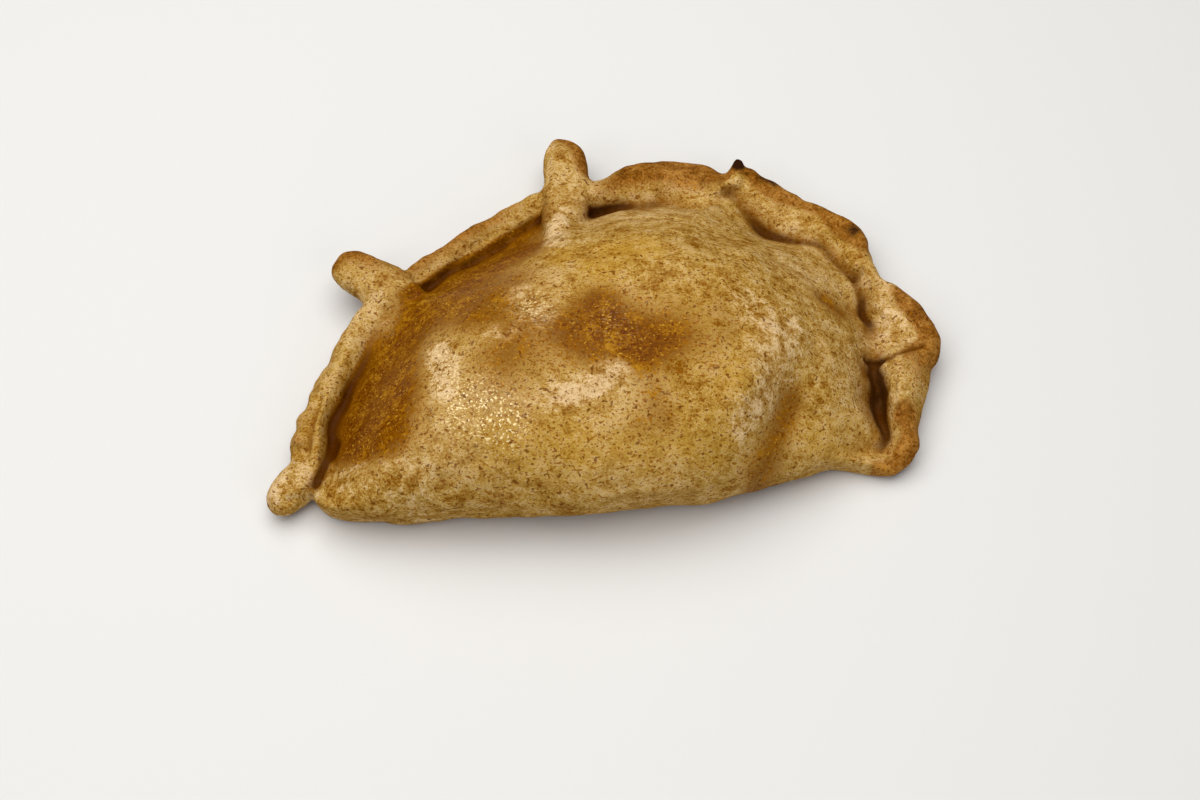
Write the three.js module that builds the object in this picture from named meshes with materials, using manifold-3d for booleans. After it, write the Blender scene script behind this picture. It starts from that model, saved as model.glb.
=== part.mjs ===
import * as THREE from 'three';
import Module from 'manifold-3d';

// A baked half-moon pie, one solid piece. A round of dough is folded over its filling, so the front edge is
// a smooth roll. The curved edge is sealed by six straight folds, turned up and in, and the dough pinched at
// their corners stands out as a tail and three ears. Millimetres, +Z up, resting on the plane Z = 0.

// Filled dome
const domeCentre = new THREE.Vector2(0, -11);
const domeHeight = 37;
const domeReach = new THREE.Vector2(62, 40); // half axes of the rounded plan round the dome's centre
const sealRise = 38; // way in from the seal over which the dome gains its height
const sealStart = 0.8; // part of that way already climbed where the groove lies
const rollRise = 38; // way in from the front roll over which the dome gains its height
const frontLeft = -52.5; // where the front roll starts to climb, on the left and on the right
const frontRight = -34;
const frontTurn = [2, 77]; // the stretch of X over which it moves from one to the other
const cornerPull = 0.13; // per millimetre: the higher, the further the dome fills the corners
const sealPower = 2.1; // the higher, the steeper the dome starts from the seal
const rollPower = 2.5; // and from the front roll
const rollFlank = 0.9; // share of the reach at which the dome passes into the front roll
const rollTuck = 0.9; // how far the roll tucks under, as a share of its height
const grooveHemPower = 2; // how soon the dome stops starting at the groove where the folded edge fades
const grooveRowPower = 4; // the higher, the closer to the groove the dome is drawn down to it

// Low swellings and dents of the dome. Half sizes, with the first along the turned axis.
const lumps = [
  { x: 43.5, y: -31.5, along: 14, across: 5, turn: 66, height: -7 },
  { x: 31, y: -36.5, along: 12, across: 7, turn: 66, height: 4 },
  { x: 56, y: -14, along: 9, across: 9, turn: 0, height: 1.6 },
  { x: -30, y: -12, along: 22, across: 14, turn: 10, height: 1.5 },
  { x: -50, y: -8, along: 9, across: 20, turn: -15, height: -3.5 },
  { x: -27, y: 19, along: 20, across: 7, turn: 36, height: -2.5 },
  { x: 24, y: 6, along: 20, across: 14, turn: 0, height: 1.5 },
  { x: -11, y: 20, along: 6, across: 11, turn: 0, height: 2.5 },
];

// The folds, from the tail round the back to the right end. A fold runs straight from corner to corner, bowed
// outwards a little. A list of three is a value at its start, middle and end:
// width from the outer edge to the groove, rise of the crest above the groove's inner brink, depth and mouth
// of the groove, how far the lip leans over it, the crest's place as a share of the width, roll 1 for a
// rolled band and 0 for a flat flap, height of the outer edge, and the seat that the dome climbs from.
const profileKeys = ['width', 'rise', 'groove', 'mouth', 'lip', 'crest', 'roll', 'edge', 'seat'];
const folds = [
  {
    from: [-72.4, -32.6], to: [-58, 7.2], bow: 2.9,
    width: [10.8, 12, 8.5], rise: [3.2, 2.8, 1.4], groove: [1, 1.3, 0.1],
    mouth: [2, 2, 2], lip: [0.1, 0.2, 0], crest: [0.55, 0.46, 0.3],
    roll: [1, 0.7, 0.2], edge: [5, 5.5, 6.5], seat: [7.5, 8.5, 10],
  },
  {
    from: [-48.4, 17.6], to: [-14.4, 42.8], bow: 1.4,
    width: [9.2, 10.4, 9.4], rise: [2.4, 2.8, 2], groove: [2.4, 2, 1.2],
    mouth: [1.6, 1.5, 1.4], lip: [0.9, 0.8, 0.3], crest: [0.34, 0.3, 0.36],
    roll: [1, 0.9, 0.7], edge: [6.3, 5.6, 6], seat: [7.5, 6.7, 6.7],
  },
  {
    from: [-1.4, 45.4], to: [33.6, 47.8], bow: 4.9,
    width: [12.6, 17, 15], rise: [3, 2.4, 1], groove: [4, 1.6, 0],
    mouth: [2.6, 2.2, 2], lip: [0.8, 0.3, 0], crest: [0.42, 0.38, 0.35],
    roll: [1, 0.6, 0.2], edge: [7, 7, 7], seat: [7.8, 8.8, 9],
  },
  {
    from: [37.6, 48.8], to: [66.4, 30.2], bow: 0.4,
    width: [10.4, 15, 12], rise: [2, 2.6, 3.4], groove: [1.4, 2.2, 1.8],
    mouth: [2, 2, 2], lip: [0, 0, 0], crest: [0.2, 0.16, 0.14],
    roll: [0.1, 0, 0], edge: [7.5, 7, 7], seat: [7.4, 5.4, 5.2],
  },
  {
    from: [69.8, 16], to: [83.4, -2.2], bow: 1.6,
    width: [7.4, 14.5, 17.5], rise: [3.2, 4.2, 4], groove: [2, 3.4, 0.6],
    mouth: [1.8, 2.2, 1.8], lip: [0.2, 0.3, 0], crest: [0.3, 0.17, 0.14],
    roll: [0.4, 0.55, 0], edge: [7, 7.5, 8.5], seat: [6.2, 5.4, 5.6],
  },
  {
    from: [82.4, -7.4], to: [76, -31.8], bow: -1.3,
    width: [17, 13, 10], rise: [4.6, 4.8, 2.6], groove: [1.6, 5.4, 3],
    mouth: [2, 3.4, 2.8], lip: [0.5, 1.2, 0.5], crest: [0.6, 0.5, 0.36],
    roll: [1, 1, 0.5], edge: [7, 6, 5], seat: [6.5, 6, 5.5],
  },
];

// Profile of a fold from the groove's brink over the lip to the crest, for a rolled band and for a flat flap.
// Way in from the rim: shares of the width, of the width times the crest, of the mouth and of the lip.
// Height above the brink: shares of the groove's depth and of the rise.
const bandShape = [
  { width: 1, crest: 0, mouth: 0, lip: 0, groove: 0, rise: 0 },
  { width: 1, crest: 0, mouth: -0.45, lip: 0, groove: -0.55, rise: 0 },
  { width: 1, crest: 0, mouth: -1, lip: 0, groove: -1, rise: 0 },
  { width: 1, crest: 0, mouth: -1.4, lip: 1, groove: -0.5, rise: 0.1 },
  { width: 1, crest: 0, mouth: -1.85, lip: 1, groove: 0, rise: 0.42 },
  { width: 0.5, crest: 0.5, mouth: -0.9, lip: 0, groove: 0, rise: 0.82 },
  { width: 0, crest: 1, mouth: 0, lip: 0, groove: 0, rise: 1 },
];
const flapShape = [
  { width: 1, crest: 0, mouth: 0, lip: 0, groove: 0, rise: 0 },
  { width: 0.92, crest: 0, mouth: 0, lip: 0, groove: -0.6, rise: 0.02 },
  { width: 0.8, crest: 0, mouth: 0, lip: 0, groove: -0.5, rise: 0.14 },
  { width: 0.62, crest: 0, mouth: 0, lip: 0, groove: 0, rise: 0.42 },
  { width: 0.45, crest: 0, mouth: 0, lip: 0, groove: 0, rise: 0.68 },
  { width: 0.32, crest: 0, mouth: 0, lip: 0, groove: 0, rise: 0.86 },
  { width: 0, crest: 1, mouth: 0, lip: 0, groove: 0, rise: 1 },
];
// The outer side: a shoulder between crest and edge as shares of the two, then the foot that curls under,
// with its way in and its height as a share of the edge's
const shoulder = { crest: 0.35, rise: 0.72 };
const foot = [
  { way: 0, height: 1 },
  { way: 1.2, height: 0.42 },
  { way: 4.5, height: 0.06 },
  { way: 9, height: 0 },
];

// The rolled front edge, from the right end back to the tail: place, height of the roll's widest line, and
// the share of the folded edge that still shows there
const frontEdge = [
  { x: 70.6, y: -37.4, seat: 5.5, hem: 0.6 },
  { x: 57, y: -36.2, seat: 6.5, hem: 0 },
  { x: 46.5, y: -40.4, seat: 8.5, hem: 0 },
  { x: 24, y: -48.2, seat: 10.5, hem: 0 },
  { x: -4, y: -51.9, seat: 12, hem: 0 },
  { x: -32, y: -52.1, seat: 12, hem: 0 },
  { x: -52, y: -52, seat: 9.5, hem: 0 },
  { x: -66, y: -48.4, seat: 6.5, hem: 0.08 },
];
const frontHem = { width: 12, rise: 2, groove: 0, mouth: 2, lip: 0, crest: 0.5, roll: 1 };

// The tail and the ears: a line from inside the dough to the tip, with half widths and half heights along it
const ears = [
  {
    line: [[-69.6, -31.5, 5], [-69.8, -39.2, 5.6], [-77.8, -47.6, 4.5]],
    wide: [3.2, 4, 4.8, 4.2], high: [3.4, 4.4, 4.3, 3.9],
  },
  {
    line: [[-43, 3, 9], [-50.5, 9.3, 9.4], [-58, 14.2, 9.8], [-66.2, 18.5, 10]],
    wide: [4.5, 6.6, 5.6, 5.9], high: [3.6, 4.4, 4.2, 3.8],
  },
  {
    line: [[-11, 18, 19], [-9.6, 29, 10.6], [-8.2, 42.5, 9], [-10.8, 57, 10]],
    wide: [2.4, 4, 5.6, 6.6, 5.8, 5.2], high: [2.4, 4.6, 4.8, 4.4, 4, 3.6],
  },
  {
    line: [[33.5, 42, 8.5], [34.8, 47, 10.2], [35.5, 50.2, 11.4]],
    wide: [2.6, 2.2, 1.8], high: [2.8, 2.2, 1.8],
  },
];
const earSquareness = 2.2; // power of the superellipse section
const earEnds = [0.15, 0.22]; // shares of the length rounded off at the root and at the tip

// Fineness of the faceted solid
const rimColumns = 132;
const domeRows = 11;
const domeRowPower = 0.9; // under 1, the rows stand closer towards the edge
const domeRowBlend = [0.1, 1]; // shares of the way out over which the rows pass from the plan to the groove
const rollUpperRows = 5;
const stepsPerSpan = 24;
const foldQuarters = [0, 0.25, 0.5, 0.75, 1];
const earRows = 11;
const earSides = 12;

const { clamp, degToRad, lerp, smoothstep } = THREE.MathUtils;

// Unit vector square to a fold, pointing out of the pie
function foldOutward({ from, to }) {
  return new THREE.Vector2(from[1] - to[1], to[0] - from[0]).normalize();
}

// The outer edge as seen from above: a closed curve through the bowed folds and the front
function rimKnots() {
  const knots = folds.flatMap((fold) => {
    const outward = foldOutward(fold);
    return foldQuarters.map((t) => {
      const swell = fold.bow * 4 * t * (1 - t);
      const x = lerp(fold.from[0], fold.to[0], t) + outward.x * swell;
      const y = lerp(fold.from[1], fold.to[1], t) + outward.y * swell;
      return new THREE.Vector3(x, y, 0);
    });
  });
  return [...knots, ...frontEdge.map(({ x, y }) => new THREE.Vector3(x, y, 0))];
}

// Profile values in order round the rim, each with its share of the rim's length
function rimStations(knotShares) {
  const foldStations = folds.flatMap((fold, i) => [0, 1, 2].map((part) => {
    const values = Object.fromEntries(profileKeys.map((key) => [key, fold[key][part]]));
    return { ...values, hem: 1, at: knotShares[i * foldQuarters.length + part * 2] };
  }));
  const firstFront = folds.length * foldQuarters.length;
  const frontStations = frontEdge.map(({ seat, hem }, i) => (
    { ...frontHem, seat, edge: seat, hem, at: knotShares[firstFront + i] }
  ));
  return [...foldStations, ...frontStations, { ...foldStations[0], at: 1 }];
}

// Profile values at any share of the rim, eased from one station to the next
function profileAt(stations, share) {
  const next = stations.findIndex((station) => station.at > share);
  const [a, b] = [stations[next - 1], stations[next]];
  const t = smoothstep(share, a.at, b.at);
  return Object.fromEntries(Object.keys(a).map((key) => [key, lerp(a[key], b[key], t)]));
}

// Distance inside the fold nearest to a point, rounded where two folds meet: a soft least value
function sealDistance(x, y) {
  const sum = folds.reduce((total, fold) => {
    const outward = foldOutward(fold);
    const inside = (fold.from[0] - x) * outward.x + (fold.from[1] - y) * outward.y + fold.bow - fold.width[1];
    return total + Math.exp(-cornerPull * inside);
  }, 0);
  return -Math.log(sum) / cornerPull;
}

// Height of the dome: it climbs from the seat, from the seal and from the front roll, and carries the lumps.
// The groove's own distance is taken off, so that the dome starts at the groove all round.
function domeSurface(x, y, seat, grooveDistance) {
  const fromGroove = sealDistance(x, y) - grooveDistance + sealStart;
  const fromSeal = 1 - (1 - clamp(fromGroove / sealRise, 0, 1)) ** sealPower;
  const frontLine = lerp(frontLeft, frontRight, smoothstep(x, ...frontTurn));
  const fromRoll = (1 - (1 - clamp((y - frontLine) / rollRise, 0, 1)) ** rollPower) ** (1 / sealPower);
  const swell = lumps.reduce((total, lump) => {
    const turn = degToRad(lump.turn);
    const along = (x - lump.x) * Math.cos(turn) + (y - lump.y) * Math.sin(turn);
    const across = (y - lump.y) * Math.cos(turn) - (x - lump.x) * Math.sin(turn);
    return total + lump.height * Math.exp(-((along / lump.along) ** 2) - (across / lump.across) ** 2);
  }, 0);
  return seat + (domeHeight - seat + swell) * fromSeal * fromRoll;
}

// A point of a fold's profile as [way in from the rim, height]
function foldPoint(shape, { width, rise, groove, mouth, lip, crest }, brink) {
  const way = width * (shape.width + shape.crest * crest) + shape.mouth * mouth + shape.lip * lip;
  return [way, brink + shape.groove * groove + shape.rise * rise];
}

// Profile of the folded edge: brink, groove, lip, crest, outer edge, foot
function hemProfile(profile, brink) {
  const { width, rise, crest, roll, edge } = profile;
  const inner = bandShape.map((shape, i) => {
    const band = foldPoint(shape, profile, brink);
    const flap = foldPoint(flapShape[i], profile, brink);
    return [lerp(flap[0], band[0], roll), lerp(flap[1], band[1], roll)];
  });
  const side = [shoulder.crest * width * crest, lerp(edge, brink + rise, shoulder.rise)];
  return [...inner, side, ...foot.map(({ way, height }) => [way, height * edge])];
}

// Profile of the front roll with as many points: down the dome's flank to the rim, then tucked under
function rollProfile(reach, outward, seat, grooveDistance, count) {
  const upper = Array.from({ length: rollUpperRows }, (_, i) => {
    const way = (1 - rollFlank) * reach * (1 - i / (rollUpperRows - 1)) ** 2;
    const x = domeCentre.x + outward.x * (reach - way);
    const y = domeCentre.y + outward.y * (reach - way);
    return [way, domeSurface(x, y, seat, grooveDistance)];
  });
  const rimHeight = upper.at(-1)[1];
  const lowerRows = count - rollUpperRows;
  const lower = Array.from({ length: lowerRows }, (_, i) => {
    const turn = (Math.PI / 2) * ((i + 1) / lowerRows);
    return [rollTuck * seat * (1 - Math.cos(turn)), rimHeight * (1 - Math.sin(turn))];
  });
  return [...upper, ...lower];
}

// One column of the body, from beside the dome's centre over the edge to the flat underside
function bodyColumn(rimPoint, profile) {
  const outward = new THREE.Vector2(rimPoint.x, rimPoint.y).sub(domeCentre);
  const reach = outward.length();
  outward.normalize();
  const place = (radius, height) => [
    domeCentre.x + outward.x * radius, domeCentre.y + outward.y * radius, Math.max(height, 0),
  ];
  const grooveReach = lerp(reach * rollFlank, reach - profile.width, profile.hem);
  const [grooveX, grooveY] = place(grooveReach, 0);
  const grooveDistance = profile.hem ** grooveHemPower * Math.min(sealDistance(grooveX, grooveY), 0);
  const ellipseReach = 1 / Math.hypot(outward.x / domeReach.x, outward.y / domeReach.y);
  const dome = Array.from({ length: domeRows }, (_, i) => {
    const share = ((i + 1) / domeRows) ** domeRowPower;
    const radius = share * lerp(ellipseReach, grooveReach, smoothstep(share, ...domeRowBlend));
    const [x, y] = place(radius, 0);
    return [x, y, domeSurface(x, y, profile.seat, grooveDistance * share ** grooveRowPower)];
  });
  const hem = hemProfile(profile, dome.at(-1)[2]);
  const roll = rollProfile(reach, outward, profile.seat, grooveDistance, hem.length);
  const edge = hem.map(([way, height], i) => (
    place(reach - lerp(roll[i][0], way, profile.hem), lerp(roll[i][1], height, profile.hem))
  ));
  return [...dome, ...edge.slice(1)];
}

// A grid of columns closed round and drawn to a point at both ends, as a solid with its faces outwards
function closedSolid(wasm, columns, first, last) {
  const rows = columns[0].length;
  const vertProperties = new Float32Array([...columns.flat(2), ...first, ...last]);
  const firstPoint = columns.length * rows;
  const triangles = columns.flatMap((_, j) => {
    const here = j * rows;
    const beside = ((j + 1) % columns.length) * rows;
    const strip = Array.from({ length: rows - 1 }, (_, i) => [
      here + i, beside + i, beside + i + 1,
      here + i, beside + i + 1, here + i + 1,
    ]);
    const caps = [firstPoint, beside, here, here + rows - 1, beside + rows - 1, firstPoint + 1];
    return [...strip.flat(), ...caps];
  });
  const triVerts = new Uint32Array(triangles);
  return new wasm.Manifold(new wasm.Mesh({ numProp: 3, vertProperties, triVerts }));
}

// The filled body with its folded and rolled edge
function bodySolid(wasm) {
  const knots = rimKnots();
  const rim = new THREE.CatmullRomCurve3(knots, true, 'catmullrom', 0.5);
  rim.arcLengthDivisions = knots.length * stepsPerSpan;
  const lengths = rim.getLengths();
  const stations = rimStations(knots.map((_, i) => lengths[i * stepsPerSpan] / lengths.at(-1)));
  const columns = Array.from({ length: rimColumns }, (_, j) => {
    const share = j / rimColumns;
    return bodyColumn(rim.getPointAt(share), profileAt(stations, share));
  });
  const top = [...domeCentre.toArray(), domeSurface(domeCentre.x, domeCentre.y, 0, 0)];
  return closedSolid(wasm, columns, top, [...domeCentre.toArray(), 0]);
}

// Value of an evenly spaced list at a share of its length
function alongList(list, share) {
  const place = share * (list.length - 1);
  const i = Math.min(Math.floor(place), list.length - 2);
  return lerp(list[i], list[i + 1], place - i);
}

// An ear: a superellipse section carried along its line, rounded off at both ends
function earSolid(wasm, { line, wide, high }) {
  const points = line.map((point) => new THREE.Vector3(...point));
  const path = new THREE.CatmullRomCurve3(points, false, 'catmullrom', 0.5);
  const rings = Array.from({ length: earRows }, (_, i) => {
    const share = 0.5 - 0.5 * Math.cos((Math.PI * (i + 1)) / (earRows + 1));
    const [atRoot, atTip] = [1 - share / earEnds[0], 1 - (1 - share) / earEnds[1]];
    const taper = Math.sqrt((1 - Math.max(atRoot, 0) ** 2) * (1 - Math.max(atTip, 0) ** 2));
    const tangent = path.getTangentAt(share);
    const side = new THREE.Vector3(tangent.y, -tangent.x, 0).normalize();
    const up = new THREE.Vector3().crossVectors(side, tangent);
    return {
      centre: path.getPointAt(share),
      side: side.multiplyScalar(alongList(wide, share) * taper),
      up: up.multiplyScalar(alongList(high, share) * taper),
    };
  });
  const power = (value) => Math.sign(value) * Math.abs(value) ** (2 / earSquareness);
  const columns = Array.from({ length: earSides }, (_, j) => {
    const turn = (-2 * Math.PI * j) / earSides;
    return rings.map(({ centre, side, up }) => centre.clone()
      .addScaledVector(side, power(Math.cos(turn)))
      .addScaledVector(up, power(Math.sin(turn)))
      .toArray());
  });
  return closedSolid(wasm, columns, line[0], line.at(-1));
}

// The body and the ears joined, with the middle of the footprint at the origin
function pieGeometry(wasm) {
  const solid = ears.reduce((joined, ear) => joined.add(earSolid(wasm, ear)), bodySolid(wasm));
  const { vertProperties, triVerts } = solid.getMesh();
  const geometry = new THREE.BufferGeometry();
  geometry.setAttribute('position', new THREE.BufferAttribute(vertProperties, 3));
  geometry.setIndex(new THREE.BufferAttribute(triVerts, 1));
  geometry.computeBoundingBox();
  const middle = geometry.boundingBox.getCenter(new THREE.Vector3());
  geometry.translate(-middle.x, -middle.y, -geometry.boundingBox.min.z);
  geometry.computeVertexNormals();
  return geometry;
}

const wasm = await Module();
wasm.setup();

const crust = new THREE.MeshStandardMaterial({ color: 0xb78d55, roughness: 0.6, metalness: 0 });
const pie = new THREE.Mesh(pieGeometry(wasm), crust);
pie.name = 'empanada';

const group = new THREE.Group();
group.add(pie);

export default group;
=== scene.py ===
import math

import bpy
import numpy as np
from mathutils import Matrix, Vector


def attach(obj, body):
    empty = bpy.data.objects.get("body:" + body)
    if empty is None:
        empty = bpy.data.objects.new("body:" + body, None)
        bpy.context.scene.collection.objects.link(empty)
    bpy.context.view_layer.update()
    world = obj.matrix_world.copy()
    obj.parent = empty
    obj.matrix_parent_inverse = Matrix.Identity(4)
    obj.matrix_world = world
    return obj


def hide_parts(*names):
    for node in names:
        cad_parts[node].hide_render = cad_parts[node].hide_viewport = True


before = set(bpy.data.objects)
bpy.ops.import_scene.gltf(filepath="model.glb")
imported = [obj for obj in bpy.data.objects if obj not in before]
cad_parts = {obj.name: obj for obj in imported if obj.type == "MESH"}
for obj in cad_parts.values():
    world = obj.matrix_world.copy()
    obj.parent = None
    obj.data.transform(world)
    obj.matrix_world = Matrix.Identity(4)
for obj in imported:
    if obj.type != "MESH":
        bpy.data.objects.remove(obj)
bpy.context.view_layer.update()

scene = bpy.context.scene


# The pie's shape in millimetres, drawn with the dome's middle near the origin.
# A fold's lists hold a value at its start, middle and end, as in the solid.
pieShape = {
    "middle": (2.203, 2.347),       # middle of the footprint, which becomes the origin
    "domeCentre": (0.0, -11.0),
    "domeHeight": 37.0,
    "domeReach": (62.0, 40.0),
    "sealRise": 38.0,
    "sealStart": 0.8,
    "rollRise": 38.0,
    "frontLine": (-52.5, -34.0),    # where the front roll starts to climb, left and right
    "frontTurn": (2.0, 77.0),
    "cornerPull": 0.13,
    "sealPower": 2.1,
    "rollPower": 2.5,
    "rollFlank": 0.9,
    "rollTuck": 0.9,
    # x, y, half length, half width, turn, height
    "lumps": [
        (43.5, -31.5, 14, 5, 66, -7.0),
        (31, -36.5, 12, 7, 66, 4.0),
        (56, -14, 9, 9, 0, 1.6),
        (-30, -12, 22, 14, 10, 1.5),
        (-50, -8, 9, 20, -15, -3.5),
        (-27, 19, 20, 7, 36, -2.5),
        (24, 6, 20, 14, 0, 1.5),
        (-11, 20, 6, 11, 0, 2.5),
    ],
    "folds": [
        # a fold's shade is the strength of painted shade along its groove; its toast is real browning
        dict(start=(-72.4, -32.6), end=(-58, 7.2), bow=2.9,
             width=(10.8, 12, 8.5), rise=(3.2, 2.8, 1.4),
             groove=(1, 1.3, 0.1), mouth=(2, 2, 2), lip=(0.1, 0.2, 0),
             crest=(0.55, 0.46, 0.3), roll=(1, 0.7, 0.2), edge=(5, 5.5, 6.5), seat=(7.5, 8.5, 10),
             shade=(0.95, 0.65, 0.15), toast=(0.35, 0.2, 0.1)),
        dict(start=(-48.4, 17.6), end=(-14.4, 42.8), bow=1.4,
             width=(9.2, 10.4, 9.4), rise=(2.4, 2.8, 2),
             groove=(2.4, 2, 1.2), mouth=(1.6, 1.5, 1.4), lip=(0.9, 0.8, 0.3),
             crest=(0.34, 0.3, 0.36), roll=(1, 0.9, 0.7), edge=(6.3, 5.6, 6), seat=(7.5, 6.7, 6.7),
             shade=(0.8, 0.45, 0.35), toast=(0.6, 0.7, 0.1)),
        dict(start=(-1.4, 45.4), end=(33.6, 47.8), bow=4.9,
             width=(12.6, 17, 15), rise=(3, 2.4, 1),
             groove=(4, 1.6, 0), mouth=(2.6, 2.2, 2), lip=(0.8, 0.3, 0),
             crest=(0.42, 0.38, 0.35), roll=(1, 0.6, 0.2), edge=(7, 7, 7), seat=(7.8, 8.8, 9),
             shade=(0.9, 0.6, 0), toast=(0.1, 1.3, 0.8)),
        dict(start=(37.6, 48.8), end=(66.4, 30.2), bow=0.4,
             width=(10.4, 15, 12), rise=(2, 2.6, 3.4),
             groove=(1.4, 2.2, 1.8), mouth=(2, 2, 2), lip=(0, 0, 0),
             crest=(0.2, 0.16, 0.14), roll=(0.1, 0, 0), edge=(7.5, 7, 7), seat=(7.4, 5.4, 5.2),
             shade=(0.4, 0.9, 0.6), toast=(1, 0.8, 1)),
        dict(start=(69.8, 16), end=(83.4, -2.2), bow=1.6,
             width=(7.4, 14.5, 17.5), rise=(3.2, 4.2, 4),
             groove=(2, 3.4, 0.6), mouth=(1.8, 2.2, 1.8), lip=(0.2, 0.3, 0),
             crest=(0.3, 0.17, 0.14), roll=(0.4, 0.55, 0), edge=(7, 7.5, 8.5), seat=(6.2, 5.4, 5.6),
             shade=(0.4, 0.65, 0.1), toast=(0.1, 0.6, 1.3)),
        dict(start=(82.4, -7.4), end=(76, -31.8), bow=-1.3,
             width=(17, 13, 10), rise=(4.6, 4.8, 2.6),
             groove=(1.6, 5.4, 3), mouth=(2, 3.4, 2.8), lip=(0.5, 1.2, 0.5),
             crest=(0.6, 0.5, 0.36), roll=(1, 1, 0.5), edge=(7, 6, 5), seat=(6.5, 6, 5.5),
             shade=(0.3, 1.1, 0.6), toast=(0.6, 0.3, 0.8)),
    ],
    # a fold's profile from the groove's brink to the crest, as shares of
    # width, width times crest, mouth, lip | groove, rise
    "band": [
        (1, 0, 0, 0, 0, 0), (1, 0, -0.45, 0, -0.55, 0), (1, 0, -1, 0, -1, 0), (1, 0, -1.4, 1, -0.5, 0.1),
        (1, 0, -1.85, 1, 0, 0.42), (0.5, 0.5, -0.9, 0, 0, 0.82), (0, 1, 0, 0, 0, 1),
    ],
    "flap": [
        (1, 0, 0, 0, 0, 0), (0.92, 0, 0, 0, -0.6, 0.02), (0.8, 0, 0, 0, -0.5, 0.14), (0.62, 0, 0, 0, 0, 0.42),
        (0.45, 0, 0, 0, 0, 0.68), (0.32, 0, 0, 0, 0, 0.86), (0, 1, 0, 0, 0, 1),
    ],
    "shoulder": (0.35, 0.72),
    "foot": [(0, 1), (1.2, 0.42), (4.5, 0.06), (9, 0)],   # way in, share of the edge's height
    # the rolled front: x, y, height of its widest line, share of the folded edge
    "front": [
        (70.6, -37.4, 5.5, 0.6), (57, -36.2, 6.5, 0), (46.5, -40.4, 8.5, 0), (24, -48.2, 10.5, 0),
        (-4, -51.9, 12, 0), (-32, -52.1, 12, 0), (-52, -52, 9.5, 0), (-66, -48.4, 6.5, 0.08),
    ],
    "frontHem": dict(width=12, rise=2, groove=0, mouth=2, lip=0, crest=0.5, roll=1, shade=0, toast=0),
    # tail and ears: a line from inside the dough to the tip, half widths, half heights
    "ears": [
        dict(line=[(-69.6, -31.5, 5), (-69.8, -39.2, 5.6), (-77.8, -47.6, 4.5)],
             wide=(3.2, 4, 4.8, 4.2), high=(3.4, 4.4, 4.3, 3.9)),
        dict(line=[(-43, 3, 9), (-50.5, 9.3, 9.4), (-58, 14.2, 9.8), (-66.2, 18.5, 10)],
             wide=(4.5, 6.6, 5.6, 5.9), high=(3.6, 4.4, 4.2, 3.8)),
        dict(line=[(-11, 18, 19), (-9.6, 29, 10.6), (-8.2, 42.5, 9), (-10.8, 57, 10)],
             wide=(2.4, 4, 5.6, 6.6, 5.8, 5.2), high=(2.4, 4.6, 4.8, 4.4, 4, 3.6)),
        dict(line=[(33.5, 42, 8.5), (34.8, 47, 10.2), (35.5, 50.2, 11.4)],
             wide=(2.6, 2.2, 1.8), high=(2.8, 2.2, 1.8)),
    ],
    "earSquareness": 2.2,
    "earEnds": (0.15, 0.22),
    "earRows": 48,
    "earSides": 56,
    "columns": 900,
    "domeRows": 60,
    "rowGrowth": 0.9,               # power that spaces the dome's rows
    "planStart": 0.1,               # share of the reach where the rows start to follow the rim
    "grooveFade": 4,                # power that fades the groove's distance towards the top
    "rollRows": (5, 7),             # points on the front roll above and below its widest line
    "lineSteps": (60, 40),          # points between the knots of the rim and of an ear
    "stepsPerSpan": 7,
    "voxel": 0.7,                   # grain of the joined dough
    "smoothing": (0.5, 3),          # share and times
}

profileKeys = ("width", "rise", "groove", "mouth", "lip", "crest", "roll", "edge", "seat", "shade", "toast")


# smooth step: 3t^2 - 2t^3 of the share of the way from low to high
def ease(value, low, high):
    t = np.clip((value - low) / (high - low), 0, 1)
    return t * t * (3 - 2 * t)


# plain blend of two arrays
def mixed(a, b, share):
    return a + (b - a) * share


# Catmull-Rom curve: each span is a cubic whose end slopes are half the chord across each end's neighbours
def curveThrough(knots, closed, steps):
    knots = np.asarray(knots, float)
    if closed:
        before, here, after, beyond = (np.roll(knots, turn, axis=0) for turn in (1, 0, -1, -2))
    else:
        ended = np.concatenate([[2 * knots[0] - knots[1]], knots, [2 * knots[-1] - knots[-2]]])
        before, here, after, beyond = ended[:-3], ended[1:-2], ended[2:-1], ended[3:]
    t = (np.arange(steps) / steps).reshape((1, steps) + (1,) * (knots.ndim - 1))
    before, here, after, beyond = (part[:, None] for part in (before, here, after, beyond))
    points = (here * (2 * t**3 - 3 * t**2 + 1) + after * (3 * t**2 - 2 * t**3)
              + (after - before) / 2 * (t**3 - 2 * t**2 + t) + (beyond - here) / 2 * (t**3 - t**2))
    points = points.reshape((-1,) + knots.shape[1:])
    return points if closed else np.concatenate([points, knots[-1:]])


# unit vector square to a fold, pointing out of the pie
def foldOutward(fold):
    (ax, ay), (bx, by) = fold["start"], fold["end"]
    return np.array([ay - by, bx - ax]) / math.hypot(ay - by, bx - ax)


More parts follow.
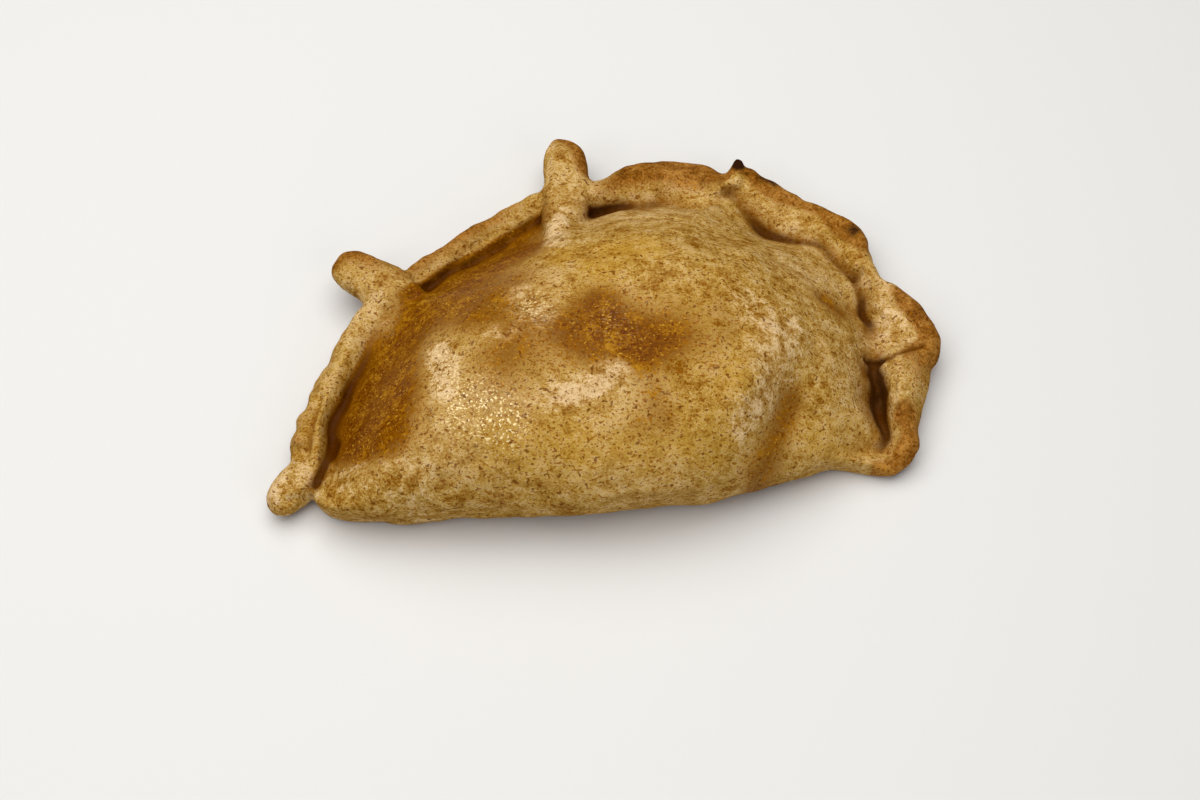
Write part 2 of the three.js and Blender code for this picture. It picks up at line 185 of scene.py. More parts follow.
# The rim seen from above, evenly spaced, with the profile values at each column.
# A fold is a straight line plus a bow of 4t(1-t), with a station at every second knot; values ease from
# station to station.
def rimColumns(shape, perFold=5, between=2):
    quarters = np.linspace(0, 1, perFold)[:, None]
    knots = [mixed(np.array(fold["start"]), np.array(fold["end"]), quarters)
             + foldOutward(fold) * fold["bow"] * 4 * quarters * (1 - quarters) for fold in shape["folds"]]
    knots = np.concatenate(knots + [np.array(shape["front"])[:, :2]])
    steps = shape["lineSteps"][0]
    line = curveThrough(knots, True, steps)
    line = np.concatenate([line, line[:1]])
    lengths = np.concatenate([[0], np.cumsum(np.linalg.norm(np.diff(line, axis=0), axis=1))])
    shares = lengths / lengths[-1]
    at = np.arange(shape["columns"]) / shape["columns"]
    rim = np.stack([np.interp(at, shares, line[:, axis]) for axis in (0, 1)], axis=1)
    atKnots = shares[:-1:steps]
    stations, stops = [], []
    for i, fold in enumerate(shape["folds"]):
        for part in range(3):
            stations.append([fold[key][part] for key in profileKeys] + [1])
            stops.append(atKnots[i * perFold + part * between])
    for i, (*_, seat, hem) in enumerate(shape["front"]):
        plain = dict(shape["frontHem"], edge=seat, seat=seat)
        stations.append([plain[key] for key in profileKeys] + [hem])
        stops.append(atKnots[len(shape["folds"]) * perFold + i])
    stations, stops = np.array(stations + stations[:1], float), np.array(stops + [1.0])
    span = np.clip(np.searchsorted(stops, at, side="right") - 1, 0, len(stops) - 2)
    t = ease(at, stops[span], stops[span + 1])[:, None]
    values = mixed(stations[span], stations[span + 1], t)
    return rim, {key: values[:, i] for i, key in enumerate(profileKeys + ("hem",))}


# Distance inside the folds: a soft least of the distances from their groove lines
def sealDistance(shape, x, y):
    pull = shape["cornerPull"]
    total = 0
    for fold in shape["folds"]:
        out = foldOutward(fold)
        inside = (fold["start"][0] - x) * out[0] + (fold["start"][1] - y) * out[1]
        inside = inside + fold["bow"] - fold["width"][1]
        total = total + np.exp(-pull * inside)
    return -np.log(total) / pull


# Height of the dome: seat + (height - seat + lumps) x climb from the seal x climb from the front roll.
# The groove's own distance is taken off, so that the dome starts at the groove all round.
def domeHeightAt(shape, x, y, seat, grooveDistance):
    fromGroove = sealDistance(shape, x, y) - grooveDistance + shape["sealStart"]
    fromSeal = 1 - (1 - np.clip(fromGroove / shape["sealRise"], 0, 1)) ** shape["sealPower"]
    frontLine = mixed(*shape["frontLine"], ease(x, *shape["frontTurn"]))
    fromFront = np.clip((y - frontLine) / shape["rollRise"], 0, 1)
    fromRoll = (1 - (1 - fromFront) ** shape["rollPower"]) ** (1 / shape["sealPower"])
    swell = 0
    for lx, ly, long, wide, turn, height in shape["lumps"]:
        c, s = math.cos(math.radians(turn)), math.sin(math.radians(turn))
        along, across = (x - lx) * c + (y - ly) * s, (y - ly) * c - (x - lx) * s
        swell = swell + height * np.exp(-(along / long) ** 2 - (across / wide) ** 2)
    return seat + (shape["domeHeight"] - seat + swell) * fromSeal * fromRoll


# The filled body as columns of points: dome rows on growing shares of the reach, then the edge's profile
# (a hem blended into the front roll), drawn fine by a curve through its twelve points
def bodyGrid(shape):
    rim, at = rimColumns(shape)
    centre = np.array(shape["domeCentre"])
    outward = rim - centre
    reach = np.linalg.norm(outward, axis=1)
    outward = outward / reach[:, None]
    column = lambda value: value[:, None]

    grooveReach = mixed(reach * shape["rollFlank"], reach - at["width"], at["hem"])
    planReach = 1 / np.hypot(outward[:, 0] / shape["domeReach"][0], outward[:, 1] / shape["domeReach"][1])
    share = ((np.arange(shape["domeRows"]) + 1) / shape["domeRows"]) ** shape["rowGrowth"]
    radius = share * mixed(column(planReach), column(grooveReach), ease(share, shape["planStart"], 1))
    x = centre[0] + column(outward[:, 0]) * radius
    y = centre[1] + column(outward[:, 1]) * radius
    groove = centre + outward * grooveReach[:, None]
    grooveDistance = column(at["hem"] ** 2 * np.minimum(sealDistance(shape, groove[:, 0], groove[:, 1]), 0))
    fading = grooveDistance * share ** shape["grooveFade"]
    dome = np.stack([x, y, domeHeightAt(shape, x, y, column(at["seat"]), fading)], axis=-1)
    brink = dome[:, -1, 2]

    sizes = np.stack([at["width"], at["width"] * at["crest"], at["mouth"], at["lip"]], axis=1)
    lifts = np.stack([at["groove"], at["rise"]], axis=1)
    inner = []
    for name in ("flap", "band"):
        rows = np.array(shape[name], float)
        inner.append(np.stack([sizes @ rows[:, :4].T, column(brink) + lifts @ rows[:, 4:].T], axis=-1))
    inner = mixed(inner[0], inner[1], at["roll"][:, None, None])
    byCrest, byRise = shape["shoulder"]
    side = np.stack([byCrest * at["width"] * at["crest"],
                     mixed(at["edge"], brink + at["rise"], byRise)], axis=-1)
    foot = np.array(shape["foot"], float)
    outer = np.stack([np.broadcast_to(foot[:, 0], (len(rim), len(foot))),
                      column(at["edge"]) * foot[:, 1]], axis=-1)
    hem = np.concatenate([inner, side[:, None], outer], axis=1)

    above, below = shape["rollRows"]
    way = column((1 - shape["rollFlank"]) * reach) * (1 - np.arange(above) / (above - 1)) ** 2
    upX = centre[0] + column(outward[:, 0]) * (column(reach) - way)
    upY = centre[1] + column(outward[:, 1]) * (column(reach) - way)
    upper = np.stack([way, domeHeightAt(shape, upX, upY, column(at["seat"]), grooveDistance)], axis=-1)
    turn = math.pi / 2 * (np.arange(below) + 1) / below
    lower = np.stack([column(shape["rollTuck"] * at["seat"]) * (1 - np.cos(turn)),
                      column(upper[:, -1, 1]) * (1 - np.sin(turn))], axis=-1)
    roll = np.concatenate([upper, lower], axis=1)

    edge = mixed(roll, hem, at["hem"][:, None, None]).transpose(1, 0, 2)
    edge = curveThrough(edge, False, shape["stepsPerSpan"]).transpose(1, 0, 2)
    out = column(reach) - edge[:, :, 0]
    edge = np.stack([centre[0] + column(outward[:, 0]) * out, centre[1] + column(outward[:, 1]) * out,
                     np.maximum(edge[:, :, 1], 0)], axis=-1)
    grid = np.concatenate([dome, edge[:, 1:]], axis=1)
    top = [*centre, domeHeightAt(shape, centre[0], centre[1], 0.0, 0.0)]
    return grid, top, [*centre, 0.0]


# An ear: a superellipse carried along a curve, its size tapering as a quarter circle at both ends
def earGrid(shape, ear, reading=0.02):
    rows, sides = shape["earRows"], shape["earSides"]
    path = curveThrough(ear["line"], False, shape["lineSteps"][1])
    lengths = np.concatenate([[0], np.cumsum(np.linalg.norm(np.diff(path, axis=0), axis=1))])
    share = 0.5 - 0.5 * np.cos(math.pi * (np.arange(rows) + 1) / (rows + 1))
    pick = lambda where: np.stack([np.interp(where, lengths / lengths[-1], line) for line in path.T], axis=1)
    centre = pick(share)
    tangent = pick(np.minimum(share + reading, 1)) - pick(np.maximum(share - reading, 0))
    tangent = tangent / np.linalg.norm(tangent, axis=1, keepdims=True)
    across = np.stack([tangent[:, 1], -tangent[:, 0], np.zeros(rows)], axis=1)
    across = across / np.linalg.norm(across, axis=1, keepdims=True)
    up = np.cross(across, tangent)
    rootEnd, tipEnd = shape["earEnds"]
    atRoot, atTip = np.maximum(1 - share / rootEnd, 0), np.maximum(1 - (1 - share) / tipEnd, 0)
    taper = np.sqrt((1 - atRoot**2) * (1 - atTip**2))
    alongList = lambda values: np.interp(share, np.linspace(0, 1, len(values)), values)
    turn = -2 * math.pi * np.arange(sides) / sides
    power = lambda value: np.sign(value) * np.abs(value) ** (2 / shape["earSquareness"])
    wide = (alongList(ear["wide"]) * taper)[None, :, None] * power(np.cos(turn))[:, None, None]
    high = (alongList(ear["high"]) * taper)[None, :, None] * power(np.sin(turn))[:, None, None]
    return centre + across * wide + up * high, ear["line"][0], ear["line"][-1]


# faces of a grid of columns closed round, with a fan to a pole at both ends
def closedFaces(columns, rows):
    here = np.arange(columns)[:, None] * rows + np.arange(rows)
    beside = np.roll(here, -1, axis=0)
    quads = np.stack([here[:, :-1], beside[:, :-1], beside[:, 1:], here[:, 1:]], axis=-1).reshape(-1, 4)
    poles = np.full(columns, columns * rows)
    fans = np.concatenate([np.stack([poles, beside[:, 0], here[:, 0]], axis=1),
                           np.stack([here[:, -1], beside[:, -1], poles + 1], axis=1)])
    return quads, fans


# puts points, quads and triangles into a new mesh
def meshFrom(name, points, quads, fans):
    mesh = bpy.data.meshes.new(name)
    corners = np.concatenate([quads.ravel(), fans.ravel()])
    starts = np.concatenate([np.arange(len(quads)) * 4, len(quads) * 4 + np.arange(len(fans)) * 3])
    mesh.vertices.add(len(points))
    mesh.vertices.foreach_set("co", np.ascontiguousarray(points, np.float32).ravel())
    mesh.loops.add(len(corners))
    mesh.loops.foreach_set("vertex_index", corners.astype(np.int32))
    mesh.polygons.add(len(starts))
    mesh.polygons.foreach_set("loop_start", starts.astype(np.int32))
    mesh.update(calc_edges=True)
    mesh.validate()
    return mesh


# body and ears as one mesh in metres, joined into a single skin by a voxel remesh and smoothed
def joinedDough(shape):
    points, quads, fans, count = [], [], [], 0
    for grid, first, last in [bodyGrid(shape)] + [earGrid(shape, ear) for ear in shape["ears"]]:
        faces, caps = closedFaces(*grid.shape[:2])
        points += [grid.reshape(-1, 3), np.array([first, last])]
        quads.append(faces + count)
        fans.append(caps + count)
        count += grid.shape[0] * grid.shape[1] + 2
    points = np.concatenate(points) - np.array([*shape["middle"], 0])
    mesh = meshFrom("doughParts", points / 1000, np.concatenate(quads), np.concatenate(fans))
    rough = bpy.data.objects.new("doughParts", mesh)
    scene.collection.objects.link(rough)
    remesh = rough.modifiers.new("join", "REMESH")
    remesh.mode = "VOXEL"
    remesh.voxel_size = shape["voxel"] / 1000
    smooth = rough.modifiers.new("soften", "SMOOTH")
    smooth.factor, smooth.iterations = shape["smoothing"]
    skin = bpy.data.meshes.new_from_object(rough.evaluated_get(bpy.context.evaluated_depsgraph_get()))
    bpy.data.objects.remove(rough)
    bpy.data.meshes.remove(mesh)
    skin.name = "bakedEmpanada"
    return skin


# Relief, browning, painted shade and painted sheen in millimetres from the origin, as strokes seen from
# above:
# a line of points, a half width and an amount
crustMarks = {
    "swells": [(19, 0.3, 3), (9, 0.16, 5), (4.2, 0.07, 8)],   # wave length, height, seed of the uneven skin
    "crinkles": [(9.5, 0.3, 11), (4.0, 0.1, 12)],             # the same, on the folds and ears only
    "cracks": [
        ([(-41.9, 12.8), (-38.1, 16.8), (-34.2, 20.8), (-30.1, 24.1)], 0.8, 0.5),       # second fold's band
        ([(-62.6, -21.0), (-64.6, -33.0)], 1.2, 0.4),                                   # tail's groove
        ([(-65.2, -35.6), (-66.6, -39.1), (-69.2, -45.6)], 1.4, 0.7),
        ([(-69.4, -23.0), (-70.2, -28.0), (-70.6, -33.0), (-71.2, -38.0)], 0.9, 1.2),   # by the nodules
        ([(-74.7, -49.2), (-71.3, -47.9)], 0.9, 0.8),                                   # tail's root
        # between the last two folds
        ([(62.8, -10.9), (65.7, -11.7), (68.2, -11.9), (72.6, -10.0), (76.7, -8.4)], 1.0, 1.3),
        ([(-15.2, 48.9), (-14.4, 50.9)], 0.8, 1.0),                                     # third ear's tip
    ],
    "pits": [
        ([(-49.7, 4.0), (-47.5, 4.6)], 1.6, 1.4),
        ([(61.6, 14.1)], 1.6, 1.6),
        ([(32.3, 39.4), (34.8, 35.7), (38.5, 30.9)], 3.0, 0.6),
    ],
    "nodules": [
        ([(-72.6, -27.6)], 2.2, 1.5),
        ([(-72.9, -33.4)], 2.2, 1.3),
        ([(-45.6, 16.0)], 1.8, 0.6),
        ([(-40.6, 18.8)], 1.8, 0.6),
        ([(-29.9, 26.8)], 2.0, 0.6),
        ([(41.5, 40.0)], 2.2, 0.7),
        ([(62.8, 24.0)], 2.2, 0.7),
    ],
    # painted shade along grooves and slits, where shade falls
    "shade": [
        ([(64.9, -11.4), (68.2, -11.9), (72.6, -10.0), (76.7, -8.4)], 0.9, 1.2),   # between the last folds
        ([(63.0, -15.0), (63.0, -20.6), (63.6, -28.0)], 3.6, 0.55),                # by the last slit
        ([(-65.2, -36.0), (-66.9, -41.0), (-68.8, -45.2)], 1.7, 1.35),             # between tail and dome
        ([(-69.9, -26.0), (-70.4, -31.0), (-70.9, -36.5)], 0.8, 0.9),              # by the nodules
    ],
    "glaze": [
        ([(-46.0, 5.4), (-37.3, 15.5), (-27.4, 23.0), (-20.0, 29.6)], 6.0, 1.0),   # under the second fold
        ([(-44.0, -3.0), (-37.0, 1.0), (-30.0, 9.0), (-22.0, 15.0)], 8.0, 0.9),
        ([(-43.0, -8.0), (-33.0, -8.0), (-23.0, -4.0)], 7.0, 0.6),
        ([(-31.0, -14.0), (-20.0, -18.0), (-24.0, -27.0)], 7.0, 0.52),
        ([(-56.0, -14.0), (-59.0, -25.0), (-58.0, -38.0)], 7.0, 1.0),              # left hollow
        ([(-49.5, -12.0), (-48.0, -28.0), (-49.5, -40.0)], 6.5, 0.9),
        ([(-62.5, -20.0), (-63.0, -36.0)], 4.0, 0.8),
        ([(-2.4, -15.0), (0.0, -19.0), (3.3, -23.0), (6.8, -25.0)], 6.2, 1.0),     # top of the dome
        ([(-11.3, -20.1), (-7.9, -24.4), (-4.5, -25.6)], 4.0, 0.6),
        ([(9.1, -20.7), (13.2, -23.2)], 4.0, 0.5),
        ([(-12.0, -21.0), (12.0, -20.0)], 8.0, 0.4),
        ([(42.4, -29.4), (39.4, -37.0), (36.4, -42.8), (33.6, -46.8)], 3.2, 0.6),  # valley in the front
        ([(52.4, 1.8), (55.7, -0.3)], 3.4, 0.7),
        ([(10.0, -37.0), (12.4, -41.0)], 3.5, 0.45),
        ([(-30.0, -34.0), (-26.0, -40.0)], 10.0, 0.2),
        ([(6.7, -42.2)], 3.0, 0.4),
        ([(18.0, -22.0), (26.0, -16.0)], 9.0, 0.25),
    ],
    "toast": [
        ([(-12.6, 54.4), (-8.0, 50.0), (-5.8, 44.0)], 2.6, 0.8),
        ([(-69.0, 14.9), (-66.7, 17.9), (-60.0, 18.4)], 2.6, 0.8),
        ([(40.0, 41.4), (44.0, 38.4)], 3.0, 0.8),
        ([(58.5, 28.4), (63.5, 25.4)], 3.6, 1.0),
        ([(74.0, 5.4), (78.5, -1.6), (79.4, -7.6)], 3.2, 1.4),
        ([(70.5, -26.6)], 2.0, 1.5),
        ([(70.0, -36.3), (69.0, -38.9), (64.0, -39.6)], 2.6, 0.9),
        ([(35.5, -47.4), (41.0, -40.6)], 3.0, 0.4),
        ([(0.0, 38.4), (10.0, 41.4), (22.0, 40.6)], 4.5, 0.45),
        ([(58.0, -38.1), (50.0, -39.6)], 2.0, 0.35),
    ],
    "burn": [
        ([(33.0, 45.6), (33.3, 47.9)], 2.2, 1.2),
        ([(39.0, 42.4), (42.0, 40.8)], 2.0, 0.6),
        ([(46.0, 40.5), (54.0, 35.0)], 1.4, 0.35),
        ([(61.6, 26.4)], 2.8, 0.65),
        ([(75.0, 4.4), (79.0, -1.6), (79.6, -6.6)], 1.9, 0.3),
    ],
    # pale dough patches, partly painted sheen: the egg wash's glossy reflection painted as a pale colour
    "bloom": [
        ([(-20.7, -8.5), (-17.1, -13.4), (-14.0, -18.0)], 4.5, 0.6),
        ([(-21.5, -20.4), (-27.2, -21.0)], 4.0, 0.5),
        ([(-39.0, -21.6), (-37.9, -28.4), (-37.2, -33.3)], 3.6, 0.95),
        ([(-11.2, -36.1), (-5.6, -35.0), (1.2, -30.9)], 3.8, 0.9),
        ([(42.0, -14.9), (36.8, -26.2)], 6.0, 0.5),
        ([(31.3, -10.1), (34.7, -15.1)], 6.0, 0.5),
        ([(-12.5, 27.0), (-13.5, 18.0), (-13.0, 13.0)], 4.2, 0.7),
        ([(29.5, -40.5), (35.5, -33.0)], 3.0, 0.6),
        ([(-62.0, -46.0), (-44.0, -51.0)], 6.0, 0.4),
        ([(-73.0, -42.0), (-79.0, -49.0)], 5.0, 0.55),
        ([(69.0, 5.0), (72.0, -6.0)], 5.0, 0.45),
    ],
    # where the glaze shines: real coat gloss, and the mask of painted sparkles of highlight
    "shine": [
        ([(-34.7, -38.7), (-31.4, -35.7), (-26.8, -38.2), (-22.3, -40.4)], 4.5, 1.0),
        ([(-29.0, -42.3), (-24.6, -44.3)], 4.0, 0.8),
        ([(-39.0, -21.6), (-37.5, -31.0)], 3.5, 0.6),
        ([(-17.1, -13.4)], 4.5, 0.8),
        ([(1.0, -18.0)], 6.0, 0.12),
    ],
    "butter": [
        ([(-2.2, -0.2), (7.2, 5.7)], 7.0, 0.9),
        ([(-11.6, 4.9)], 5.0, 0.7),
        ([(29.0, -29.6)], 7.0, 0.5),
        ([(-34.0, -40.6), (-20.0, -44.6)], 5.0, 0.5),
        ([(-24.0, -46.0), (0.0, -47.0), (22.0, -44.0)], 8.0, 0.7),
        ([(48.0, -36.0), (60.0, -33.0)], 6.0, 0.7),
    ],
    # painted shade and browning along the folds, in millimetres or shares
    "flapFloor": 0.86,              # floor of a flap's groove, in widths from the rim
    "bandFloor": 1.1,               # floor of a band's groove, in mouths from its brink
    "domeBlur": 3.4,                # softness of the groove's shade on the dome's side
    "foldBlur": (1.8, 0.8),         # and on the side of a flap and of a band
    "toastReach": (0.8, 3.0),       # share of the crest's way in, softness beyond it
    "foldStart": (0.3, 1.8),        # way past the groove's floor where a fold starts and is full
    "foldBare": 0.85,               # share of the glaze that folds lack
    "foldLight": 0.6,               # share of the hollows' darkness that folds lack
    # from nothing to full by height over the table, or by the normal's upward part
    "reliefHeight": (0.4, 2.5),
    "burnHeight": (5, 9),
    "reliefTurn": (-0.3, 0.3),
    "creaseTurn": (-0.3, 0.1),
    "underTurn": (0.2, 0.8),
    "hollows": [(1.6, 3.5), (3.5, 8)],   # width of the blur, depth that counts as one
    "creaseMost": 1.5,
}


# sum of cosine waves of about one length in seeded directions: an even, repeatable unevenness near -1 to 1
def skinWaves(points, length, seed, count=28, lengths=(0.75, 1.35), calm=1.6):
    dice = np.random.default_rng(seed)
    ways = dice.normal(size=(count, 3))
    ways /= np.linalg.norm(ways, axis=1, keepdims=True)
    ways *= 2 * math.pi / (length * dice.uniform(*lengths, (count, 1)))
    waves = np.cos(points @ ways.T + dice.uniform(0, 2 * math.pi, count))
    return waves.sum(axis=1) * math.sqrt(2 / count) / calm


# least distance, seen from above, from each point to a line of straight stretches
def strokeDistance(plan, line):
    line = np.array(line + line[-1:] if len(line) == 1 else line, float)
    start, stretch = line[:-1], np.diff(line, axis=0)
    along = ((plan[:, None] - start) * stretch).sum(axis=-1) / np.maximum((stretch**2).sum(axis=-1), 1e-9)
    nearest = start + np.clip(along, 0, 1)[..., None] * stretch
    return np.linalg.norm(plan[:, None] - nearest, axis=-1).min(axis=1)


# strokes laid over each other: 1 - product of (1 - amount x bell of the distance)
def strokesOver(plan, strokes):
    clear = np.ones(len(plan))
    for line, half, amount in strokes:
        clear *= 1 - amount * np.exp(-(strokeDistance(plan, line) / half) ** 2)
    return 1 - clear


# How far the ground round each point stands above it: a map of the greatest heights seen from above, in
# cells of one millimetre, blurred by a bell curve of the given width and read back between its cells, less
# the height. The same blur of the footprint fades it out at the outer edge.
def hollowBelow(points, width, bells=4, rimFade=(0.8, 0.98)):
    pad = int(bells * width) + 2
    place = points[:, :2] - points[:, :2].min(axis=0) + pad
    cells = np.ceil(place.max(axis=0)).astype(int) + pad
    heights = np.zeros(cells)
    nearest = np.rint(place).astype(int)
    np.maximum.at(heights, (nearest[:, 0], nearest[:, 1]), points[:, 2])
    waves = np.fft.fftfreq(cells[0])[:, None] ** 2 + np.fft.rfftfreq(cells[1]) ** 2
    bell = np.exp(-2 * (math.pi * width) ** 2 * waves)
    corner = np.floor(place).astype(int)
    (i, j), (u, v) = corner.T, (place - corner).T

    def blurred(grid):
        mean = np.fft.irfft2(np.fft.rfft2(grid) * bell, cells)
        return mixed(mixed(mean[i, j], mean[i + 1, j], u), mixed(mean[i, j + 1], mean[i + 1, j + 1], u), v)

    return (blurred(heights) - points[:, 2]) * ease(blurred((heights > 0).astype(float)), *rimFade)


# Painted shade and browning along the folds, found by the turn round the dome's centre: a bell of painted
# shade across the groove's floor, soft on the dome's side and sharper on the fold's, a bell of browning in
# from the crest that covers the outer wall, and the folds themselves
def foldShadeAndToast(shape, marks, plan):
    rim, at = rimColumns(shape)
    outward = rim - np.array(shape["domeCentre"])
    reach, turn = np.linalg.norm(outward, axis=1), np.arctan2(outward[:, 1], outward[:, 0])
    here = plan + np.array(shape["middle"]) - np.array(shape["domeCentre"])
    away, bearing = np.linalg.norm(here, axis=1), np.arctan2(here[:, 1], here[:, 0])
    look = lambda values: np.interp(bearing, turn, values, period=2 * math.pi)
    bandFloor = at["width"] - marks["bandFloor"] * at["mouth"]
    past = away - look(reach - mixed(marks["flapFloor"] * at["width"], bandFloor, at["roll"]))
    blur = np.where(past > 0, look(mixed(*marks["foldBlur"], at["roll"])), marks["domeBlur"])
    crestShare, toastBlur = marks["toastReach"]
    inward = np.maximum(look(reach - crestShare * at["width"] * at["crest"]) - away, 0)
    # painted shade across the groove's floor; toast is real browning in from the crest
    shade = look(at["shade"]) * np.exp(-(past / blur) ** 2)
    toast = look(at["toast"]) * np.exp(-(inward / toastBlur) ** 2)
    return shade, toast, look(at["hem"]) * ease(past, *marks["foldStart"])


# Carves the crust's relief along the normals and stores the browning, the painted shade of the creases and
# the painted sheen as values at the vertices
def dressCrust(mesh, shape, marks):
    count = len(mesh.vertices)
    points, normals = np.empty(count * 3, np.float32), np.empty(count * 3, np.float32)
    mesh.vertices.foreach_get("co", points)
    mesh.vertices.foreach_get("normal", normals)
    points, normals = points.reshape(-1, 3) * 1000.0, normals.reshape(-1, 3)
    plan = points[:, :2]
    clearOfTable = ease(points[:, 2], *marks["reliefHeight"])
    upward = ease(normals[:, 2], *marks["reliefTurn"])
    shade, toast, onFold = foldShadeAndToast(shape, marks, plan)
    waves = lambda name: sum(height * skinWaves(points, length, seed) for length, height, seed in marks[name])
    lift = waves("swells") + onFold * waves("crinkles")
    for name, sign in (("cracks", -1), ("pits", -1), ("nodules", 1)):
        for line, half, depth in marks[name]:
            lift = lift + sign * depth * upward * np.exp(-(strokeDistance(plan, line) / half) ** 2)
    points = points + normals * (lift * clearOfTable)[:, None]
    points[:, 2] -= points[:, 2].min()
    mesh.vertices.foreach_set("co", (points / 1000).astype(np.float32).ravel())

    # painted shade: hollows and grooves are darkened in colour where shade falls, partly also dark glaze
    # pooled there
    hollow = sum(hollowBelow(points, width) / depth for width, depth in marks["hollows"])
    dark = hollow * (1 - marks["foldLight"] * onFold) + shade + strokesOver(plan, marks["shade"])
    values = {
        "crease": np.clip(dark, 0, marks["creaseMost"]) * ease(normals[:, 2], *marks["creaseTurn"]),
        "ridge": np.clip(-hollow, 0, 1) * upward,
        "under": ease(-normals[:, 2], *marks["underTurn"]),
    }
    for name in ("glaze", "toast", "burn", "bloom", "butter", "shine"):
        values[name] = strokesOver(plan, marks[name])
    values["toast"] = values["toast"] + toast
    values["glaze"] = values["glaze"] * (1 - marks["foldBare"] * onFold)
    values["burn"] = values["burn"] * ease(points[:, 2], *marks["burnHeight"])
    for name, value in values.items():
        mesh.attributes.new(name, "FLOAT", "POINT").data.foreach_set("value", value.astype(np.float32))
    mesh.polygons.foreach_set("use_smooth", np.ones(len(mesh.polygons), bool))
    mesh.update()


# One value in a shader: wraps a node's output, and operators on it add Math nodes
class ShaderValue:
    def __init__(self, tree, socket=None):
        self.tree, self.socket = tree, socket

    # any node: its settings first, then the values or links of its sockets
    def node(self, kind, settings=None, inputs=None, output=0):
        made = self.tree.nodes.new(kind)
        for name, value in (settings or {}).items():
            if name == "stops":
                self.setStops(made.color_ramp.elements, value)
            else:
                setattr(made, name, value)
        for name, value in (inputs or {}).items():
            if isinstance(value, ShaderValue):
                self.tree.links.new(value.socket, made.inputs[name])
            else:
                made.inputs[name].default_value = value
        return ShaderValue(self.tree, made.outputs[output] if made.outputs else None)

    def setStops(self, elements, stops):
        while len(elements) < len(stops):
            elements.new(1.0)
        for element, (place, colour) in zip(elements, stops):
            element.position, element.color = place, colour

    def maths(self, operation, first, second):
        return self.node("ShaderNodeMath", {"operation": operation}, {0: first, 1: second})

    def __add__(self, other):
        return self.maths("ADD", self, other)

    def __radd__(self, other):
        return self.maths("ADD", other, self)

    def __sub__(self, other):
        return self.maths("SUBTRACT", self, other)

    def __rsub__(self, other):
        return self.maths("SUBTRACT", other, self)

    def __mul__(self, other):
        return self.maths("MULTIPLY", self, other)

    def __rmul__(self, other):
        return self.maths("MULTIPLY", other, self)

    # smooth step from low to high
    def step(self, low, high):
        return self.node("ShaderNodeMapRange", {"interpolation_type": "SMOOTHSTEP"},
                         {"Value": self, "From Min": low, "From Max": high})

    # colours along this value
    def ramp(self, *stops):
        return self.node("ShaderNodeValToRGB", {"stops": stops}, {"Fac": self}, "Color")

    # colour over colour by this value
    def tint(self, under, over):
        return self.node("ShaderNodeMix", {"data_type": "RGBA"}, {0: self, 6: under, 7: over}, 2)


# screen colour 0 to 255 as a shader colour
def screenColour(red, green, blue):
    part = lambda value: value / 255 / 12.92 if value <= 10 else ((value / 255 + 0.055) / 1.055) ** 2.4
    return (part(red), part(green), part(blue), 1)


